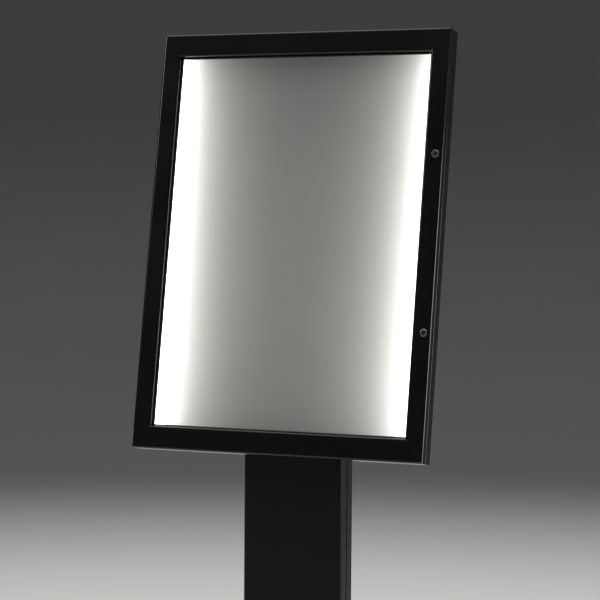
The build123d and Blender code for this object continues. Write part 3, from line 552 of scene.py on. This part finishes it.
class MENUCASE_OT_glazing(bpy.types.Operator):
    """Finish the pane, its gasket and the seals"""

    bl_idname = "menucase.glazing"
    bl_label = "Glazing"

    def execute(self, context):
        finish_slot("clear_pane", cast_acrylic())
        finish_slot("rubber", moulded_polymer(
            "extruded_rubber", (linear("#202021"), linear("#2B2B2C")),
            (0.45, 0.6), 1.2, 0.05, 1.52))
        return {"FINISHED"}


class MENUCASE_OT_gasket_fin(bpy.types.Operator):
    """Lay the soft fin of the pane's gasket on the pane, all round the window"""

    bl_idname = "menucase.gasket_fin"
    bl_label = "Gasket fin"

    def execute(self, context):
        detail = context.scene.menu_case_details
        across = Vector((1, 0, 0))
        left, right = reach("door_hinge_stile", across)[1], reach("door_lock_stile", across)[0]
        foot, head = reach("door_bottom_rail", face_up)[1], reach("door_top_rail", face_up)[0]
        pane = reach("door_pane", face_out)[1]
        gasket = reach("pane_gasket", face_out)[1] - pane
        tuck = left - opening_left("pane_gasket")
        wide, tall = detail.fin_width, detail.fin_height
        # From under the lip, up beside it, over the crown and down to the pane
        lip_gap, undercut = 0.1 * MM, 0.2 * MM
        line = [(-tuck, HAIR), (-tuck, gasket - HAIR), (lip_gap, gasket - HAIR)]
        # The crown is nine tenths of a half turn and stands on a waist below it
        steps, arc = 8, 0.9
        waist, crown = 0.45 * tall, 0.55 * tall
        for k in range(steps + 1):
            angle = math.pi * (arc - arc * k / steps)
            line.append((wide / 2 + (wide / 2 - lip_gap) * math.cos(angle),
                         waist + crown * math.sin(angle)))
        line.append((wide - undercut, HAIR))
        # Each corner of the window, with the way inward from it
        corners = ((left, foot, 1, 1), (left, head, 1, -1),
                   (right, head, -1, -1), (right, foot, -1, 1))
        rings = [[across * (x + dx * inward) + face_up * (v + dv * inward)
                  + face_out * (pane + height) for inward, height in line]
                 for x, v, dx, dv in corners]
        points, faces = loft(rings, looped=True)
        rubber = bpy.data.materials["extruded_rubber"]
        fin = make_piece("gasket_fin", points, faces, rubber, "door")
        # The shading stops at the mitres
        for edge in fin.data.edges:
            edge.use_edge_sharp = edge.vertices[0] // len(line) == edge.vertices[1] // len(line)
        return {"FINISHED"}


class MENUCASE_OT_lit_panel(bpy.types.Operator):
    """Finish the liner, with the strips' light painted on it as a glow, and the strips themselves"""

    bl_idname = "menucase.lit_panel"
    bl_label = "Lit panel"

    def execute(self, context):
        case = context.scene.menu_case_finishes
        finish_slot("grey_enamel", enamel_sheet_with_painted_strip_light(
            case.liner, case.light, (case.left_painted_wash, case.right_painted_wash), case.painted_wash_limit))
        finish_slot("opal_cover", opal_polycarbonate(case.light, case.strip_glow, case.chip_pitch))
        finish_slot("mill_aluminium", drawn_aluminium())
        finish_slot("board", strip_board(case.chip_pitch))
        finish_slot("chip", moulded_polymer(
            "phosphor_filled_silicone", (linear("#E8C64A"), linear("#F0D468")),
            (0.25, 0.35), 0.6, 0.02, 1.43))
        return {"FINISHED"}


class MENUCASE_OT_hardware(bpy.types.Operator):
    """Finish the locks, screws, nuts, rivets and hinge pin"""

    bl_idname = "menucase.hardware"
    bl_label = "Hardware"

    def execute(self, context):
        finish_slot("chrome", polished_chrome())
        finish_slot("zinc_steel", plated_metal(
            "bright_zinc_plate", (linear("#AEB2B7"), linear("#C3C2B6")), (0.24, 0.38), 5, 0.7))
        finish_slot("black_zinc", plated_metal(
            "black_passivated_zinc", (linear("#2B2B2E"), linear("#3A393B")), (0.32, 0.45), 4, 0.6))
        return {"FINISHED"}


class MENUCASE_OT_wiring(bpy.types.Operator):
    """Finish the leads, the driver, the gland and the nylon mouldings"""

    bl_idname = "menucase.wiring"
    bl_label = "Wiring"

    def execute(self, context):
        finish_slot("lead", moulded_polymer(
            "extruded_pvc_sheath", (linear("#1C1C1D"), linear("#262627")),
            (0.4, 0.5), 2.0, 0.03, 1.53))
        finish_slot("driver", moulded_polymer(
            "moulded_polycarbonate", (linear("#DEDEDA"), linear("#E6E6E2")),
            (0.45, 0.55), 0.8, 0.02, 1.58))
        finish_slot("black_nylon", black_nylon())
        return {"FINISHED"}


class MENUCASE_OT_weld_beads(bpy.types.Operator):
    """Lay a rippled fillet weld outside each cheek of the bracket"""

    bl_idname = "menucase.weld_beads"
    bl_label = "Weld beads"

    def execute(self, context):
        detail = context.scene.menu_case_details
        coat = bpy.data.materials["fine_textured_powder_coat_on_steel"]
        # The leaning plate lies against the back sheet, and the cheeks stand on its rear face
        rear = reach("case_back_sheet", face_out)[0] - detail.bracket_plate
        low, high = reach("tilt_bracket", face_up)
        low, high = low + 2 * detail.weld_leg, high - 2 * detail.weld_leg
        per_ripple, per_ring = 6, 7
        steps = int((high - low) / detail.weld_step) * per_ripple
        # The bead starts and stops small, swells on each ripple and is fuller at its toes
        start, thin, swell = 0.35, 0.92, 0.1
        throat, toe = 0.86, 0.1
        lag_share = 0.5
        for side, sign in (("left", -1), ("right", 1)):
            rings = []
            for i in range(steps + 1):
                phase = (i % per_ripple) / per_ripple
                end = min(i, steps - i) / (2 * per_ripple)
                swollen = thin + swell * math.sin(math.pi * phase)
                leg = detail.weld_leg * swollen * min(1.0, start + end)
                height = low + i * detail.weld_step / per_ripple
                ring = []
                for j in range(per_ring):
                    angle = math.pi / 2 * j / (per_ring - 1)
                    bulge = leg * (throat + toe * abs(math.cos(2 * angle)))
                    # Each ripple is a crescent, so its middle lags behind its toes
                    lag = detail.weld_step * lag_share * math.sin(2 * angle)
                    ring.append(
                        Vector((sign * (detail.cheek_span / 2 + bulge * math.cos(angle)), 0, 0))
                        + face_out * (rear - bulge * math.sin(angle)) + face_up * (height - lag))
                # The root, where the cheek meets the plate
                ring.append(Vector((sign * detail.cheek_span / 2, 0, 0))
                            + face_out * rear + face_up * height)
                rings.append(ring)
            points, faces = loft(rings, capped=True)
            if sign < 0:
                faces = [face[::-1] for face in faces]
            make_piece(f"{side}_weld_bead", points, faces, coat, "stand")
        return {"FINISHED"}


class MENUCASE_OT_lead_clips(bpy.types.Operator):
    """Hold the leads on the liner with four nylon saddle clips"""

    bl_idname = "menucase.lead_clips"
    bl_label = "Lead clips"

    def execute(self, context):
        detail = context.scene.menu_case_details
        nylon = black_nylon()
        liner = reach("magnetic_liner", face_out)[1]
        foot = liner + detail.clip_wall
        # Where the clips sit along a lead; each has ends drawn in by a moulded edge
        shares, arch_steps = (0.3, 0.75), 12
        sections = ((-0.5, 0.94), (-0.42, 1.0), (0.42, 1.0), (0.5, 0.94))
        for side, sign in (("left", -1), ("right", 1)):
            lead = f"{side}_led_lead"
            run_low, _ = reach(lead, face_up)
            under, over = reach(lead, face_out)
            radius = (over - under) / 2
            run_v, run_w = run_low + radius, under + radius
            low, high = sorted(abs(x) for x in (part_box(lead)[0].x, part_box(lead)[1].x))
            # Over one foot, up its leg, round the lead and down to the other foot
            outer = radius + detail.clip_wall
            wing = outer + detail.clip_wing
            turns = [math.pi * k / arch_steps for k in range(arch_steps + 1)]
            arch = [(outer * math.cos(turn), run_w + outer * math.sin(turn)) for turn in turns]
            line = [(wing, liner + HAIR), (wing, foot), (outer, foot), *arch,
                    (-outer, foot), (-wing, foot), (-wing, liner + HAIR)]
            for number, share in enumerate(shares, 1):
                middle = sign * (low + (high - low) * share)
                rings = [[
                    Vector((middle + offset * detail.clip_width, 0, 0))
                    + face_up * (run_v + v * pull) + face_out * (liner + (w - liner) * pull)
                    for v, w in line] for offset, pull in sections]
                points, faces = loft(rings, capped=True)
                name = f"{side}_lead_clip_{number}"
                make_piece(name, points, faces, nylon, "stand")
        return {"FINISHED"}


class MENUCASE_OT_studio(bpy.types.Operator):
    """Set the case on a pale floor with a coved wall, under soft lamps, before the camera"""

    bl_idname = "menucase.studio"
    bl_label = "Studio"

    def execute(self, context):
        studio = context.scene.menu_case_studio
        scene = context.scene
        scene.view_settings.view_transform = "Standard"
        hub, cove_steps, segments = 1 * MM, 12, 96
        profile = [(hub, 0.0), (studio.flat, 0.0)]
        for k in range(1, cove_steps + 1):
            angle = math.pi / 2 * k / cove_steps
            profile.append((studio.flat + studio.cove * math.sin(angle),
                            studio.cove * (1 - math.cos(angle))))
        profile.append((studio.flat + studio.cove, studio.wall))
        turns = [2 * math.pi * k / segments for k in range(segments)]
        rings = [[Vector((r * math.cos(turn), r * math.sin(turn), z)) for turn in turns]
                 for r, z in profile]
        points, faces = loft(rings)
        paint = studio_paint(studio.floor, studio.wall_paint, studio.pale_near, studio.pale_far)
        make_piece("studio_floor", points, faces, paint)

        # A soft ceiling: white overhead, and as dark as the wall where the two meet
        rim_climb, overhead_climb = 0.4, 0.95
        world = bpy.data.worlds.new("soft_ceiling")
        world.use_nodes = True
        tree = world.node_tree
        ray = add(tree, "ShaderNodeTexCoord").outputs["Generated"]
        climb = add(tree, "ShaderNodeSeparateXYZ", {0: ray}).outputs["Z"]
        glow = add(tree, "ShaderNodeMapRange", {
            "Value": climb, "From Min": rim_climb, "From Max": overhead_climb,
            "To Min": studio.rim, "To Max": studio.ceiling},
            interpolation_type="SMOOTHSTEP").outputs["Result"]
        background = tree.nodes["Background"]
        background.inputs["Color"].default_value = (1, 1, 1, 1)
        tree.links.new(glow, background.inputs["Strength"])
        scene.world = world

        for name, spot, width, height, watts in SOFTBOXES:
            data = bpy.data.lights.new(name, "AREA")
            data.shape = "RECTANGLE"
            data.size, data.size_y, data.energy = width, height, watts
            data.spread = SOFTBOX_SPREAD
            lamp = bpy.data.objects.new(name, data)
            lamp.location = spot
            toward = SOFTBOX_AIM - lamp.location
            lamp.rotation_euler = toward.to_track_quat("-Z", "Y").to_euler()
            lamp.visible_camera = False
            scene.collection.objects.link(lamp)

        data = bpy.data.cameras.new("camera")
        data.sensor_width, data.lens = 36.0, studio.lens
        # Well past the far wall
        data.clip_end = 60.0
        camera = bpy.data.objects.new("camera", data)
        ahead = (CAMERA_AIM - CAMERA_PLACE).normalized()
        level = ahead.cross(Vector((0, 0, 1))).normalized()
        upward = level.cross(ahead)
        right = level * math.cos(studio.roll) + upward * math.sin(studio.roll)
        up = upward * math.cos(studio.roll) - level * math.sin(studio.roll)
        turned = Matrix((right, up, -ahead)).transposed().to_4x4()
        camera.matrix_world = Matrix.Translation(CAMERA_PLACE) @ turned
        scene.collection.objects.link(camera)
        scene.camera = camera
        return {"FINISHED"}


OPERATORS = (
    MENUCASE_OT_steelwork,
    MENUCASE_OT_extrusions,
    MENUCASE_OT_glazing,
    MENUCASE_OT_gasket_fin,
    MENUCASE_OT_lit_panel,
    MENUCASE_OT_hardware,
    MENUCASE_OT_wiring,
    MENUCASE_OT_weld_beads,
    MENUCASE_OT_lead_clips,
    MENUCASE_OT_studio,
)
GROUPS = {
    "menu_case_finishes": MenuCaseFinishes,
    "menu_case_details": MenuCaseDetails,
    "menu_case_studio": MenuCaseStudio,
}


class MENUCASE_PT_sidebar(bpy.types.Panel):
    """Values and steps of the menu case"""

    bl_idname = "MENUCASE_PT_sidebar"
    bl_label = "Menu case"
    bl_space_type = "VIEW_3D"
    bl_region_type = "UI"
    bl_category = "Menu case"

    def draw(self, context):
        for name, group in GROUPS.items():
            box = self.layout.box()
            for value in group.__annotations__:
                box.prop(getattr(context.scene, name), value)
        for step in OPERATORS:
            self.layout.operator(step.bl_idname)


def register():
    for part in (*GROUPS.values(), *OPERATORS, MENUCASE_PT_sidebar):
        bpy.utils.register_class(part)
    for name, group in GROUPS.items():
        setattr(bpy.types.Scene, name, PointerProperty(type=group))


def unregister():
    for name in GROUPS:
        delattr(bpy.types.Scene, name)
    for part in reversed((*GROUPS.values(), *OPERATORS, MENUCASE_PT_sidebar)):
        bpy.utils.unregister_class(part)


def main():
    register()
    for step in OPERATORS:
        group, name = step.bl_idname.split(".")
        getattr(getattr(bpy.ops, group), name)()


if __name__ == "__main__":
    main()
